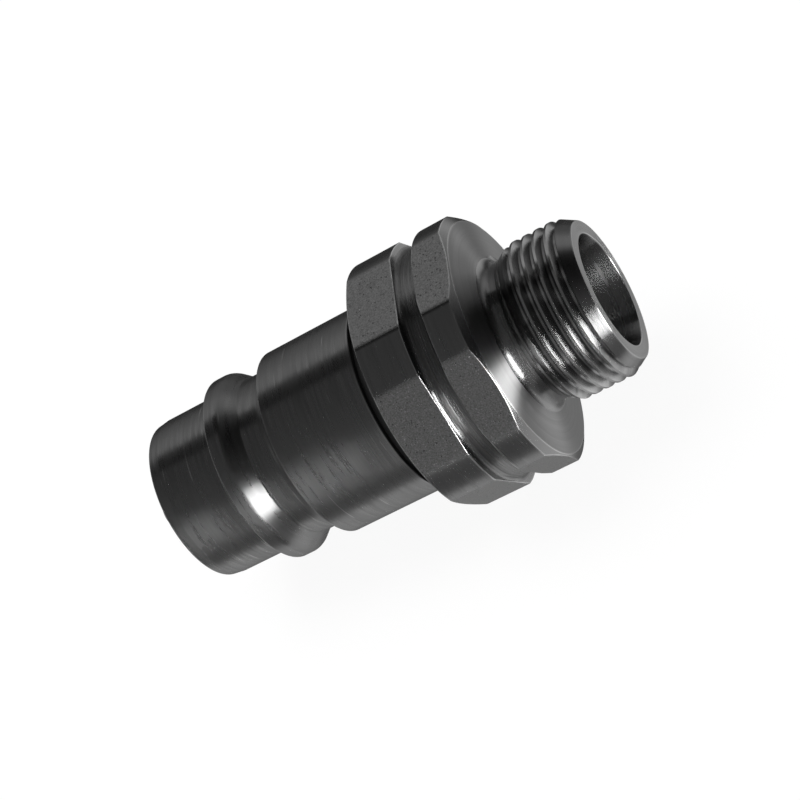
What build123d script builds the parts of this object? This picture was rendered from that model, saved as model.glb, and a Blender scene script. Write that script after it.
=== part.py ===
from build123d import *
from math import ceil, cos, radians, sin, tan
import os

# Male half of a quick coupling for hydraulic hoses: a turned nose body with a locking collar and groove,
# screwed into a double hexagon adapter that ends in a stud with a 24 degree cone for a 12 mm tube.
# A spring loaded valve poppet closes the nose. All sizes are in millimetres.
# The axis of the coupling is X. The origin lies on the axis in the front face of the locking collar,
# where the nose begins. The nose points to -X and the stud to +X. One pair of hexagon flats faces +Z and -Z.

# Nose
nose_radius = 10.25
nose_length = 9.4
nose_lead_length = 1.5
nose_lead_drop = 0.2
nose_edge_round = 0.2

# Locking collar and locking groove
barrel_radius = 11.825
collar_land = 1.25
collar_edge_break = 0.15
flank_round = 1.2
flank_angle = 38.0
groove_radius = 10.2
groove_span = 7.7
groove_root_round = 1.7
barrel_edge_break = 0.15

# Barrel and the screwed joint behind it
barrel_length = 12.85
joint_gap = 2.1
spigot_radius = 11.0
spigot_length = 9.3
spigot_end_break = 0.5
joint_clearance = 0.05

# Flow chamber, mouth and valve seat inside the nose body
mouth_radius = 6.4
mouth_length = 1.6
mouth_edge_break = 0.3
seat_angle = 45.0
seat_rise = 1.2

# Seal groove on the spigot with its two rings
seal_groove_start = 1.3
seal_groove_depth = 1.8
seal_cord_radius = 0.9
backup_thickness = 1.2
ring_side_gap = 0.05

# Hexagon adapter
hexagon_across_flats = 30.0
hexagon_corner_stand = 0.9
front_hexagon_length = 6.35
cap_groove_width = 2.6
cap_groove_depth = 0.45
cap_groove_corner = 0.3
rear_hexagon_length = 4.55
front_bevel_depth = 1.0
front_bevel_angle = 25.0
rear_bevel_depth = 1.1
rear_bevel_angle = 30.0
groove_side_bevel_angle = 30.0
groove_side_bevel_depth = 0.6
shoulder_dish = 0.5

# Stud end for a tube
stud_radius = 9.85
stud_length = 11.7
relief_radius = 8.75
relief_length = 1.8
relief_round = 1.1
relief_exit_angle = 30.0
stud_lead_radius = 8.65
stud_lead_angle = 30.0
thread_pitch = 1.5
thread_depth = 0.8
thread_root_width = 0.25
thread_flank_angle = 30.0
thread_run_in = 1.0
thread_cutter_stand = 0.1
cone_mouth_radius = 7.0
cone_half_angle = 12.0
tube_radius = 6.0
tube_clearance = 0.05
tube_stop_depth = 7.5
flow_bore_radius = 4.0
flow_bore_cone_angle = 45.0

# Valve poppet
poppet_stroke = 6.0
stop_allowance = 0.3
poppet_tip_length = 4.5
poppet_tip_radius = 1.7
poppet_tip_round = 0.5
poppet_mouth_gap = 0.2
poppet_land_end = 1.9
poppet_land_length = 0.7
poppet_seal_depth = 0.8
poppet_seal_width = 1.7
seat_gap = 0.1
flange_gap = 0.4
flange_thickness = 1.6
flange_edge_break = 0.3
spring_pilot_gap = 0.3
spring_pilot_length = 2.5
shank_radius = 3.6
stem_radius = 2.4
stem_tail = 0.6
stem_end_break = 0.4

# Valve guide
guide_hub_radius = 4.0
guide_hub_reach = 4.9
guide_rim_thickness = 2.0
guide_spoke_width = 3.0
guide_spoke_count = 3
running_clearance = 0.05
guide_rim_gap = 0.1

# Valve spring
spring_wire_radius = 0.7
spring_coil_radius = 5.6
spring_pitch = 4.0

# Stations along the axis
nose_face = -nose_length
barrel_front = groove_span
barrel_rear = barrel_front + barrel_length
adapter_front = barrel_rear + joint_gap
spigot_end = adapter_front + spigot_length
socket_floor = spigot_end + guide_rim_thickness
front_hexagon_rear = adapter_front + front_hexagon_length
rear_hexagon_front = front_hexagon_rear + cap_groove_width
rear_hexagon_rear = rear_hexagon_front + rear_hexagon_length
shoulder_face = rear_hexagon_rear + shoulder_dish
stud_end = shoulder_face + stud_length
tube_stop = stud_end - tube_stop_depth
seat_start = nose_face + mouth_length
poppet_tip = nose_face - poppet_tip_length
chamber_radius = mouth_radius + seat_rise
seal_groove_floor = spigot_radius - seal_groove_depth
seal_groove_width = backup_thickness + 2 * seal_cord_radius + 3 * ring_side_gap
backup_front = adapter_front + seal_groove_start + ring_side_gap
seal_ring_centre = backup_front + backup_thickness + ring_side_gap + seal_cord_radius


def across(length, angle):
    """How far a straight slope goes sideways over a length, for the angle between the two."""
    return length * tan(radians(angle))


# Nose body: turned outside with the lead, the locking collar, the ball groove and the barrel,
# bored through for the flow, with the conical valve seat behind its mouth
flank_turn = radians(flank_angle)
flank_arc_run = flank_round * sin(flank_turn)
flank_arc_drop = flank_round * (1 - cos(flank_turn))
flank_line_drop = barrel_radius - groove_radius - flank_arc_drop
flank_foot = collar_land + flank_arc_run + flank_line_drop / tan(flank_turn)
root_rise = barrel_radius - barrel_edge_break - groove_radius
root_turn = min(root_rise, groove_root_round) / groove_root_round
root_run = groove_root_round * (1 - (1 - root_turn) ** 2) ** 0.5
root_start = barrel_front - root_run
seat_run = seat_rise / tan(radians(seat_angle))
lead_end_radius = nose_radius - nose_lead_drop

with BuildPart() as nose_body:
    with BuildSketch(Plane.XY):
        with BuildLine():
            Polyline(
                (root_start, groove_radius),
                (flank_foot, groove_radius),
                (collar_land + flank_arc_run, barrel_radius - flank_arc_drop),
            )
            CenterArc(
                (collar_land, barrel_radius - flank_round), flank_round, 90 - flank_angle, flank_angle
            )
            Polyline(
                (collar_land, barrel_radius),
                (collar_edge_break, barrel_radius),
                (0, barrel_radius - collar_edge_break),
                (0, nose_radius),
                (nose_face + nose_lead_length, nose_radius),
                (nose_face + nose_edge_round, lead_end_radius),
            )
            CenterArc(
                (nose_face + nose_edge_round, lead_end_radius - nose_edge_round), nose_edge_round, 90, 90
            )
            Polyline(
                (nose_face, lead_end_radius - nose_edge_round),
                (nose_face, mouth_radius + mouth_edge_break),
                (nose_face + mouth_edge_break, mouth_radius),
                (seat_start, mouth_radius),
                (seat_start + seat_run, chamber_radius),
                (spigot_end, chamber_radius),
                (spigot_end, spigot_radius - spigot_end_break),
                (spigot_end - spigot_end_break, spigot_radius),
                (barrel_rear, spigot_radius),
                (barrel_rear, barrel_radius - barrel_edge_break),
                (barrel_rear - barrel_edge_break, barrel_radius),
                (barrel_front + barrel_edge_break, barrel_radius),
                (barrel_front, groove_radius + root_rise),
            )
            RadiusArc(
                (barrel_front, groove_radius + root_rise), (root_start, groove_radius), groove_root_round
            )
        make_face()
    revolve(axis=Axis.X)
    with BuildSketch(Plane.XY):
        with Locations((adapter_front + seal_groove_start, seal_groove_floor)):
            Rectangle(
                seal_groove_width, seal_groove_depth + spigot_radius, align=(Align.MIN, Align.MIN)
            )
    revolve(axis=Axis.X, mode=Mode.SUBTRACT)
nose_body.part.label = "nose_body"

# Thread cutter: one turn of the right-hand thread's groove, from its root to just outside the crests
thread_root_radius = stud_radius - thread_depth
thread_start = shoulder_face + relief_length - thread_run_in
thread_turns = ceil((stud_end - thread_start) / thread_pitch) + 1
cutter_height = thread_depth + thread_cutter_stand
cutter_foot = thread_root_width / 2
cutter_mouth = cutter_foot + across(cutter_height, thread_flank_angle)

with BuildPart() as thread_turn:
    with BuildLine():
        turn_path = Helix(
            pitch=thread_pitch,
            height=thread_pitch,
            radius=thread_root_radius,
            center=(thread_start, 0, 0),
            direction=(1, 0, 0),
        )
    with BuildSketch(Plane(origin=turn_path @ 0, x_dir=(1, 0, 0), z_dir=turn_path % 0)):
        with BuildLine():
            Polyline(
                (-cutter_foot, 0),
                (cutter_foot, 0),
                (cutter_mouth, cutter_height),
                (-cutter_mouth, cutter_height),
                close=True,
            )
        make_face()
    sweep(is_frenet=True)

# Hexagon adapter: turned from hexagon bar, with a cap groove between the two hexagons, a thread relief
# and the threaded stud. Bored from the front for the spigot and the guide, from the rear for the tube.
flat_distance = hexagon_across_flats / 2
socket_radius = spigot_radius + joint_clearance
tube_socket_radius = tube_radius + tube_clearance
hexagon_corner_radius = flat_distance + hexagon_corner_stand
cap_groove_radius = flat_distance - cap_groove_depth
front_bevel_radius = hexagon_corner_radius - front_bevel_depth
front_bevel_run = across(front_bevel_depth, front_bevel_angle)
rear_bevel_radius = hexagon_corner_radius - rear_bevel_depth
rear_bevel_run = across(rear_bevel_depth, rear_bevel_angle)
groove_side_bevel_radius = hexagon_corner_radius - groove_side_bevel_depth
groove_bevel_run = across(groove_side_bevel_depth, groove_side_bevel_angle)
lead_run = (stud_radius - stud_lead_radius) / tan(radians(stud_lead_angle))
relief_exit_run = (stud_radius - relief_radius) / tan(radians(relief_exit_angle))
relief_end = shoulder_face + relief_length
cone_run = (cone_mouth_radius - tube_socket_radius) / tan(radians(cone_half_angle))
flow_cone_run = (chamber_radius - flow_bore_radius) / tan(radians(flow_bore_cone_angle))

with BuildPart() as hex_adapter:
    with BuildSketch(Plane.XY):
        with BuildLine():
            Polyline(
                (shoulder_face + relief_round, relief_radius),
                (relief_end, relief_radius),
                (relief_end + relief_exit_run, stud_radius),
                (stud_end - lead_run, stud_radius),
                (stud_end, stud_lead_radius),
                (stud_end, cone_mouth_radius),
                (stud_end - cone_run, tube_socket_radius),
                (tube_stop, tube_socket_radius),
                (tube_stop, flow_bore_radius),
                (socket_floor + flow_cone_run, flow_bore_radius),
                (socket_floor, chamber_radius),
                (socket_floor, socket_radius),
                (adapter_front + spigot_end_break, socket_radius),
                (adapter_front, socket_radius + spigot_end_break),
                (adapter_front, front_bevel_radius),
                (adapter_front + front_bevel_run, hexagon_corner_radius),
                (front_hexagon_rear, hexagon_corner_radius),
                (front_hexagon_rear, cap_groove_radius + cap_groove_corner),
                (front_hexagon_rear + cap_groove_corner, cap_groove_radius),
                (rear_hexagon_front - cap_groove_corner, cap_groove_radius),
                (rear_hexagon_front, cap_groove_radius + cap_groove_corner),
                (rear_hexagon_front, groove_side_bevel_radius),
                (rear_hexagon_front + groove_bevel_run, hexagon_corner_radius),
                (rear_hexagon_rear - rear_bevel_run, hexagon_corner_radius),
                (rear_hexagon_rear, rear_bevel_radius),
                (shoulder_face, relief_radius + relief_round),
            )
            RadiusArc(
                (shoulder_face, relief_radius + relief_round),
                (shoulder_face + relief_round, relief_radius),
                relief_round,
            )
        make_face()
    revolve(axis=Axis.X)
    with BuildSketch(Plane.YZ.offset(adapter_front)):
        Circle(2 * hexagon_corner_radius)
        RegularPolygon(flat_distance, 6, major_radius=False, mode=Mode.SUBTRACT)
    extrude(amount=shoulder_face - adapter_front, mode=Mode.SUBTRACT)
    for turn in range(thread_turns):
        with Locations((turn * thread_pitch, 0, 0)):
            add(thread_turn.part, mode=Mode.SUBTRACT)
hex_adapter.part.label = "hex_adapter"

# Valve poppet: a conical head with a seal groove, a flange and pilot for the spring, a shank that stops
# against the guide, and a thinner stem that slides in the guide
land_radius = mouth_radius - poppet_mouth_gap
seal_front = nose_face + poppet_land_end
seal_rear = seal_front + poppet_seal_width
seal_floor = land_radius - poppet_seal_depth
flange_radius = chamber_radius - flange_gap
flange_rear = seal_rear + flange_thickness
pilot_radius = spring_coil_radius - spring_wire_radius - spring_pilot_gap
pilot_end = flange_rear + spring_pilot_length
guide_hub_front = spigot_end - guide_hub_reach
shank_end = guide_hub_front - poppet_stroke - stop_allowance
stem_end = socket_floor + stem_tail

with BuildPart() as valve_poppet:
    with BuildSketch(Plane.XY):
        with BuildLine():
            Polyline(
                (poppet_tip, 0),
                (poppet_tip, poppet_tip_radius),
                (seal_front - poppet_land_length, land_radius),
                (seal_front, land_radius),
                (seal_front, seal_floor),
                (seal_rear, seal_floor),
                (seal_rear, flange_radius - flange_edge_break),
                (seal_rear + flange_edge_break, flange_radius),
                (flange_rear, flange_radius),
                (flange_rear, pilot_radius),
                (pilot_end, pilot_radius),
                (pilot_end + pilot_radius - shank_radius, shank_radius),
                (shank_end, shank_radius),
                (shank_end, stem_radius),
                (stem_end - stem_end_break, stem_radius),
                (stem_end, stem_radius - stem_end_break),
                (stem_end, 0),
                close=True,
            )
        make_face()
    revolve(axis=Axis.X)
    fillet(valve_poppet.edges().filter_by(GeomType.CIRCLE).group_by(Axis.X)[0], poppet_tip_round)
valve_poppet.part.label = "valve_poppet"

# Poppet seal: rubber ring held in the head's groove, its front bevelled parallel to the valve seat
seal_bevel_offset = seat_gap / cos(radians(seat_angle))
seal_front_radius = mouth_radius + across(seal_front - seat_start, seat_angle) - seal_bevel_offset
seal_bevel_run = (flange_radius - seal_front_radius) / tan(radians(seat_angle))

with BuildPart() as poppet_seal:
    with BuildSketch(Plane.XY):
        with BuildLine():
            Polyline(
                (seal_front, seal_floor),
                (seal_front, seal_front_radius),
                (seal_front + seal_bevel_run, flange_radius),
                (seal_rear, flange_radius),
                (seal_rear, seal_floor),
                close=True,
            )
        make_face()
    revolve(axis=Axis.X)
poppet_seal.part.label = "poppet_seal"

# Valve guide: a rim clamped between the spigot and the socket floor, three spokes, and a hub for the stem
guide_rim_radius = socket_radius - guide_rim_gap
guide_bore_radius = stem_radius + running_clearance

with BuildPart() as valve_guide:
    with BuildSketch(Plane.YZ.offset(spigot_end)):
        Circle(guide_rim_radius)
        Circle(chamber_radius, mode=Mode.SUBTRACT)
        with PolarLocations(0, guide_spoke_count):
            Rectangle(chamber_radius + guide_rim_gap, guide_spoke_width, align=(Align.MIN, Align.CENTER))
    extrude(amount=guide_rim_thickness)
    with BuildSketch(Plane.YZ.offset(guide_hub_front)):
        Circle(guide_hub_radius)
    extrude(amount=socket_floor - guide_hub_front)
    with BuildSketch(Plane.YZ.offset(guide_hub_front)):
        Circle(guide_bore_radius)
    extrude(amount=socket_floor - guide_hub_front, mode=Mode.SUBTRACT)
valve_guide.part.label = "valve_guide"

# Valve spring: round wire wound in a helix, its ends ground flat on the flange and on the spokes
spring_front = flange_rear
spring_rear = spigot_end
spring_overrun = spring_pitch / 2

with BuildPart() as valve_spring:
    with BuildLine():
        coil = Helix(
            pitch=spring_pitch,
            height=spring_rear - spring_front + 2 * spring_overrun,
            radius=spring_coil_radius,
            center=(spring_front - spring_overrun, 0, 0),
            direction=(1, 0, 0),
        )
    with BuildSketch(Plane(origin=coil @ 0, z_dir=coil % 0)):
        Circle(spring_wire_radius)
    sweep(is_frenet=True)
    split(bisect_by=Plane.YZ.offset(spring_front), keep=Keep.TOP)
    split(bisect_by=Plane.YZ.offset(spring_rear), keep=Keep.BOTTOM)
valve_spring.part.label = "valve_spring"

# Rings in the spigot's groove: an O-ring towards the pressure, and a backup ring on its low pressure side
seal_cord_centre = seal_groove_floor + seal_groove_depth / 2 + joint_clearance / 2

with BuildPart() as joint_o_ring:
    with BuildSketch(Plane.XY):
        with Locations((seal_ring_centre, seal_cord_centre)):
            Circle(seal_cord_radius)
    revolve(axis=Axis.X)
joint_o_ring.part.label = "joint_o_ring"

with BuildPart() as joint_backup_ring:
    with BuildSketch(Plane.XY):
        with Locations((backup_front, seal_groove_floor)):
            Rectangle(backup_thickness, seal_groove_depth, align=(Align.MIN, Align.MIN))
    revolve(axis=Axis.X)
joint_backup_ring.part.label = "joint_backup_ring"

os.makedirs("parts", exist_ok=True)
for piece in (
    nose_body,
    hex_adapter,
    valve_poppet,
    poppet_seal,
    valve_guide,
    valve_spring,
    joint_o_ring,
    joint_backup_ring,
):
    export_step(piece.part, f"parts/{piece.part.label}.step")
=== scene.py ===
from math import acos, atan2, ceil, cos, hypot, pi, radians, sin, tan

import bmesh
import bpy
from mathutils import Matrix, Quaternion, Vector


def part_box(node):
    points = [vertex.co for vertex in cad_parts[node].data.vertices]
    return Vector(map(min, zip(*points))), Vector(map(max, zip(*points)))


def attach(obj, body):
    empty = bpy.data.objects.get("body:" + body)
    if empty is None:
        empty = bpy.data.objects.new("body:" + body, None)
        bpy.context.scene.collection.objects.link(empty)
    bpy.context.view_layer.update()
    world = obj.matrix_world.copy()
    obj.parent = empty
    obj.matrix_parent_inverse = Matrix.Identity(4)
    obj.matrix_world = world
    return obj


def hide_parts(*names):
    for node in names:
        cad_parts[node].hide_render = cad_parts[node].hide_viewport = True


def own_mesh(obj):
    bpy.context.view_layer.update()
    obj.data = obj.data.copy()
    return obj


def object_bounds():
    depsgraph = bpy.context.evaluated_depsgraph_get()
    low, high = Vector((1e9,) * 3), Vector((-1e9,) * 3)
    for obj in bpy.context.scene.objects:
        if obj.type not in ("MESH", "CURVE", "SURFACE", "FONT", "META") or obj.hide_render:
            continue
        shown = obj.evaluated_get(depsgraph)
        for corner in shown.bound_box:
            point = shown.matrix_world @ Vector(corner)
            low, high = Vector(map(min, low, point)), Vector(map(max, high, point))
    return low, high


bl_info = {
    "name": "Hydraulic quick coupling plug",
    "version": (1, 0, 0),
    "blender": (4, 5, 0),
    "location": "3D View > Sidebar > Coupling",
    "description": "Dresses the packed coupling plug: turned nose body, hexagon adapter, valve and studio",
    "category": "Add Mesh",
}

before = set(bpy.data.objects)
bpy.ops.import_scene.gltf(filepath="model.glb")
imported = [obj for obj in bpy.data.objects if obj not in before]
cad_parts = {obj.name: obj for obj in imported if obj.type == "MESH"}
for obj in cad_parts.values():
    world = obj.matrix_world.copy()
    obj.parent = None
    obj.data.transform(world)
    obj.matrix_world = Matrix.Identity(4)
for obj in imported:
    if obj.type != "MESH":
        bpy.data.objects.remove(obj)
CAD_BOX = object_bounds()
MM = 0.001
NOSE_LOW, NOSE_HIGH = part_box("nose_body")
ADAPTER_LOW, ADAPTER_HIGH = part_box("hex_adapter")
POPPET_LOW, POPPET_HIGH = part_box("valve_poppet")
SEAL_LOW, SEAL_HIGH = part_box("poppet_seal")
SPRING_LOW, SPRING_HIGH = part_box("valve_spring")

# Distances too small to see, and how wide the wear beside an edge is
MERGE = 2e-7
HAIR = 0.01 * MM
WEAR_WIDTH = 0.12 * MM

# Numbered sockets of the node that mixes colours
MIX_FACTOR, MIX_FIRST, MIX_SECOND, MIX_RESULT = 0, 6, 7, 2


# Properties


def number(name, description, value, **limits):
    """A number that the user can change."""
    return bpy.props.FloatProperty(name=name, description=description, default=value, **limits)


def length(name, description, metres):
    """A length in metres."""
    return number(name, description, metres, min=0.0, precision=5, unit="LENGTH")


def station(name, description, metres):
    """A place along the coupling's axis, which may be negative."""
    return number(name, description, metres, precision=5, unit="LENGTH")


def angle(name, description, size):
    """An angle given in degrees."""
    return number(name, description, radians(size), unit="ROTATION")


def share(name, description, value):
    """A plain number from nothing to one."""
    return number(name, description, value, min=0.0, max=1.0, subtype="FACTOR")


def place(name, description, value, **kind):
    """Three numbers for a place or a direction."""
    return bpy.props.FloatVectorProperty(name=name, description=description, default=value, size=3, **kind)


def count(name, description, value):
    """A whole number of parts."""
    return bpy.props.IntProperty(name=name, description=description, default=value, min=3)


def tint(name, description, level):
    """A neutral grey, as bright as the given level."""
    return bpy.props.FloatVectorProperty(
        name=name, description=description, default=(level, level, level, 1.0),
        size=4, min=0.0, max=1.0, subtype="COLOR",
    )


class NoseShape(bpy.types.PropertyGroup):
    """Sizes of the turned nose body"""

    face: station("Nose face", "Front face of the nose", NOSE_LOW.x)
    radius: length("Nose radius", "Radius in front of the collar", 10.25 * MM)
    lead: length("Lead", "Length of the tip's taper", 1.5 * MM)
    lead_drop: length("Lead drop", "How much the lead narrows", 0.2 * MM)
    edge_round: length("Nose edge", "Rounding of the front edge", 0.22 * MM)
    barrel_radius: length("Barrel radius", "Radius of collar and barrel", NOSE_HIGH.z)
    collar_land: length("Collar land", "Length of the collar's land", 1.25 * MM)
    flank_round: length("Flank rounding", "Rounding above the flank", 1.2 * MM)
    flank_angle: angle("Flank angle", "Slope of the collar's flank", 38.0)
    groove_radius: length("Groove radius", "Radius of the locking groove's floor", 10.2 * MM)
    groove_end: station("Groove end", "Where the barrel starts", 7.7 * MM)
    groove_root: length("Groove root", "Rounding at the groove's rear", 1.45 * MM)
    barrel_end: station("Barrel end", "Where the barrel ends", 20.55 * MM)
    edge_break: length("Edge break", "Rounding of the turned edges", 0.15 * MM)
    spigot_radius: length("Spigot radius", "Radius of the spigot", 11.0 * MM)
    spigot_end: station("Spigot end", "Rear end of the spigot", NOSE_HIGH.x)
    spigot_break: length("Spigot break", "Chamfer at the spigot's end", 0.5 * MM)
    seal_groove: station("Seal groove", "Front of the spigot's ring groove", 23.95 * MM)
    seal_groove_width: length("Seal groove width", "Width of the ring groove", 3.15 * MM)
    seal_groove_depth: length("Seal groove depth", "Depth of the ring groove", 1.8 * MM)
    mouth_radius: length("Mouth radius", "Radius of the nose's mouth", 6.4 * MM)
    mouth_length: length("Mouth length", "Length of the mouth", 1.6 * MM)
    chamber_radius: length("Chamber radius", "Radius of the flow chamber", 7.6 * MM)


class AdapterShape(bpy.types.PropertyGroup):
    """Sizes of the hexagon adapter and its stud"""

    front: station("Front face", "Front face of the adapter", ADAPTER_LOW.x)
    flat_distance: length("Flat distance", "From the axis to a wrench flat", ADAPTER_HIGH.z)
    corner_radius: length("Corner radius", "Radius of the turned corners", ADAPTER_HIGH.y)
    front_bevel_depth: length("Front bevel depth", "Depth of the front bevel", 1.0 * MM)
    front_bevel: angle("Front bevel", "Slope of the front bevel", 25.0)
    rear_bevel_depth: length("Rear bevel depth", "Depth of the rear bevel", 1.1 * MM)
    rear_bevel: angle("Rear bevel", "Slope of the rear bevel", 30.0)
    front_hexagon: length("Front hexagon", "Length of the front hexagon", 6.35 * MM)
    groove_width: length("Cap groove width", "Width of the cap groove", 2.6 * MM)
    groove_depth: length("Cap groove depth", "Depth below the flats", 0.45 * MM)
    groove_round: length("Cap groove rounding", "Rounding of its front corner", 0.6 * MM)
    side_bevel: length("Groove side bevel", "Depth of the rear hexagon's front bevel", 0.6 * MM)
    rear_hexagon: length("Rear hexagon", "Length of the rear hexagon", 4.55 * MM)
    dish: length("Shoulder dish", "How far the shoulder rises", 0.5 * MM)
    relief_radius: length("Relief radius", "Radius of the neck", 8.75 * MM)
    relief_length: length("Relief length", "Length of the neck", 1.8 * MM)
    relief_round: length("Relief rounding", "Rounding between shoulder and neck", 1.1 * MM)
    relief_exit: angle("Relief exit", "Slope between the neck and the thread", 30.0)
    stud_end: station("Stud end", "End face of the stud", ADAPTER_HIGH.x)
    stud_radius: length("Stud radius", "Outer radius of the thread", 9.85 * MM)
    lead_radius: length("Stud lead", "Radius of the stud's end chamfer", 8.65 * MM)
    lead_angle: angle("Stud lead slope", "Slope of that chamfer", 30.0)
    cone_mouth: length("Cone mouth", "Radius of the sealing cone's mouth", 7.0 * MM)
    cone_angle: angle("Cone angle", "Half of the sealing cone's angle", 12.0)
    tube_radius: length("Tube socket", "Radius of the tube's socket", 6.05 * MM)
    tube_stop: station("Tube stop", "Where the tube comes to rest", 40.85 * MM)
    flow_radius: length("Flow bore", "Radius of the flow bore", 4.0 * MM)
    chamber_radius: length("Chamber radius", "Radius of the bore's wide end", 7.6 * MM)
    socket_floor: station("Socket floor", "Floor of the spigot's socket", 33.95 * MM)
    socket_radius: length("Socket radius", "Radius of the spigot's socket", 11.05 * MM)
    socket_entry: length("Socket entry", "Chamfer at the socket's entry", 0.5 * MM)
    thread_pitch: length("Thread pitch", "Distance of the threads", 1.5 * MM)
    thread_depth: length("Thread depth", "Depth of the thread", 0.8 * MM)
    thread_flank: angle("Thread flank", "Slope of the thread's sides", 30.0)
    thread_root: share("Thread root", "Width of its root against the pitch", 0.17)
    thread_run: length("Thread end", "How far the thread runs into the neck", 1.0 * MM)
    edge_round: length("Edge rounding", "Rounding of the hexagon's edges", 0.07 * MM)
    flat_columns: count("Flat columns", "Mesh columns on each flat", 22)
    corner_columns: count("Corner columns", "Mesh columns on each corner", 12)


class ValveShape(bpy.types.PropertyGroup):
    """Sizes of the valve poppet, its seal and its spring"""

    tip_radius: length("Tip radius", "Radius of the poppet's tip", 1.7 * MM)
    tip_round: length("Tip rounding", "Rounding of the poppet's tip", 0.5 * MM)
    land_radius: length("Land radius", "Radius of the poppet's head", 6.2 * MM)
    land_length: length("Land length", "Length of the head's land", 0.7 * MM)
    seal_depth: length("Seal depth", "Depth of the seal in the head", 0.8 * MM)
    seal_front_radius: length("Seal nose", "Radius where the seal's bevel starts", 6.5586 * MM)
    flange_rear: station("Flange rear", "Rear face of the flange", -4.2 * MM)
    pilot_radius: length("Pilot radius", "Radius of the spring's pilot", 4.6 * MM)
    pilot_length: length("Pilot length", "Length of the spring's pilot", 2.5 * MM)
    shank_radius: length("Shank radius", "Radius of the shank", 3.6 * MM)
    shank_end: station("Shank end", "Where the stem starts", 20.75 * MM)
    stem_radius: length("Stem radius", "Radius of the stem", 2.4 * MM)
    stem_break: length("Stem break", "Chamfer at the stem's end", 0.4 * MM)
    wire_radius: length("Wire radius", "Radius of the spring's wire", 0.7 * MM)
    coil_radius: length("Coil radius", "Radius of the spring's coils", 5.6 * MM)
    coil_pitch: length("Coil pitch", "Distance of the coils", 4.0 * MM)


class Finish(bpy.types.PropertyGroup):
    """Colours and grain of the finishes"""

    steel: tint("Turned steel", "Dark plated turned steel", 0.19)
    flats: tint("Hexagon flats", "Plated wrench flats", 0.215)
    worn: tint("Worn edge", "Plating worn through at an edge", 0.5)
    valve: tint("Valve steel", "Machined steel of the valve", 0.32)
    wire: tint("Spring wire", "Drawn spring wire", 0.3)
    # Painted shade: the spigot is coloured near black to stand in for the shade in the gap between barrel
    # and adapter.
    spigot: tint("Blackened spigot", "Spigot painted near black as the shade in the joint's gap", 0.012)
    rubber: tint("Seal rubber", "Rubber seals", 0.018)
    plastic: tint("Backup ring", "Plastic backup ring", 0.55)
    ring_scale: number("Turning marks", "Turning marks for each metre", 5200.0, min=1.0)
    ring_lean: angle("Ring lean", "Outward lean of the shoulder's rings", 15.0)
    flat_roughness: share("Flat roughness", "Roughness of the wrench flats", 0.3)


class Studio(bpy.types.PropertyGroup):
    """The camera, the lamps and the dome that the metal reflects"""

    camera_place: place("Camera place", "Where the camera stands",
                        (0.10791, -0.163603, 0.163111), unit="LENGTH")
    camera_target: place("Camera target", "The point in the middle of the picture",
                         (0.01954, 0.000169, -0.000662), unit="LENGTH")
    camera_roll: angle("Camera roll", "Turn of the camera about its view", -46.665)
    camera_lens: number("Lens", "Focal length for a sensor 36 mm wide", 95.03, subtype="DISTANCE_CAMERA")
    dome_radius: length("Dome radius", "Radius of the reflected dome", 2.0)
    softbox_direction: place("Softbox direction", "Direction of the softbox",
                             (0.8885, -0.4445, -0.1144), subtype="DIRECTION")
    softbox_size: angle("Softbox size", "Half of the softbox's angle", 14.5)
    softbox_blur: share("Softbox blur", "Share over which its edge fades", 0.08)
    softbox_level: number("Softbox level", "Brightness of the softbox", 23.0, min=0.0)
    even_light: share("Even light", "Strength of the light from all round", 0.55)
    lamp_power: number("Lamp power", "Power of the lamp overhead", 9.0, min=0.0, unit="POWER")
    lamp_size: length("Lamp size", "Side of that lamp", 0.6)
    lamp_place: place("Lamp place", "Where that lamp hangs", (-0.25, 0.2, 0.9), unit="LENGTH")
    floor_size: length("Floor size", "Side of the pale floor", 6.0)
    floor_white: share("Floor white", "How white the camera sees the floor", 0.93)


# Meshes


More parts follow.
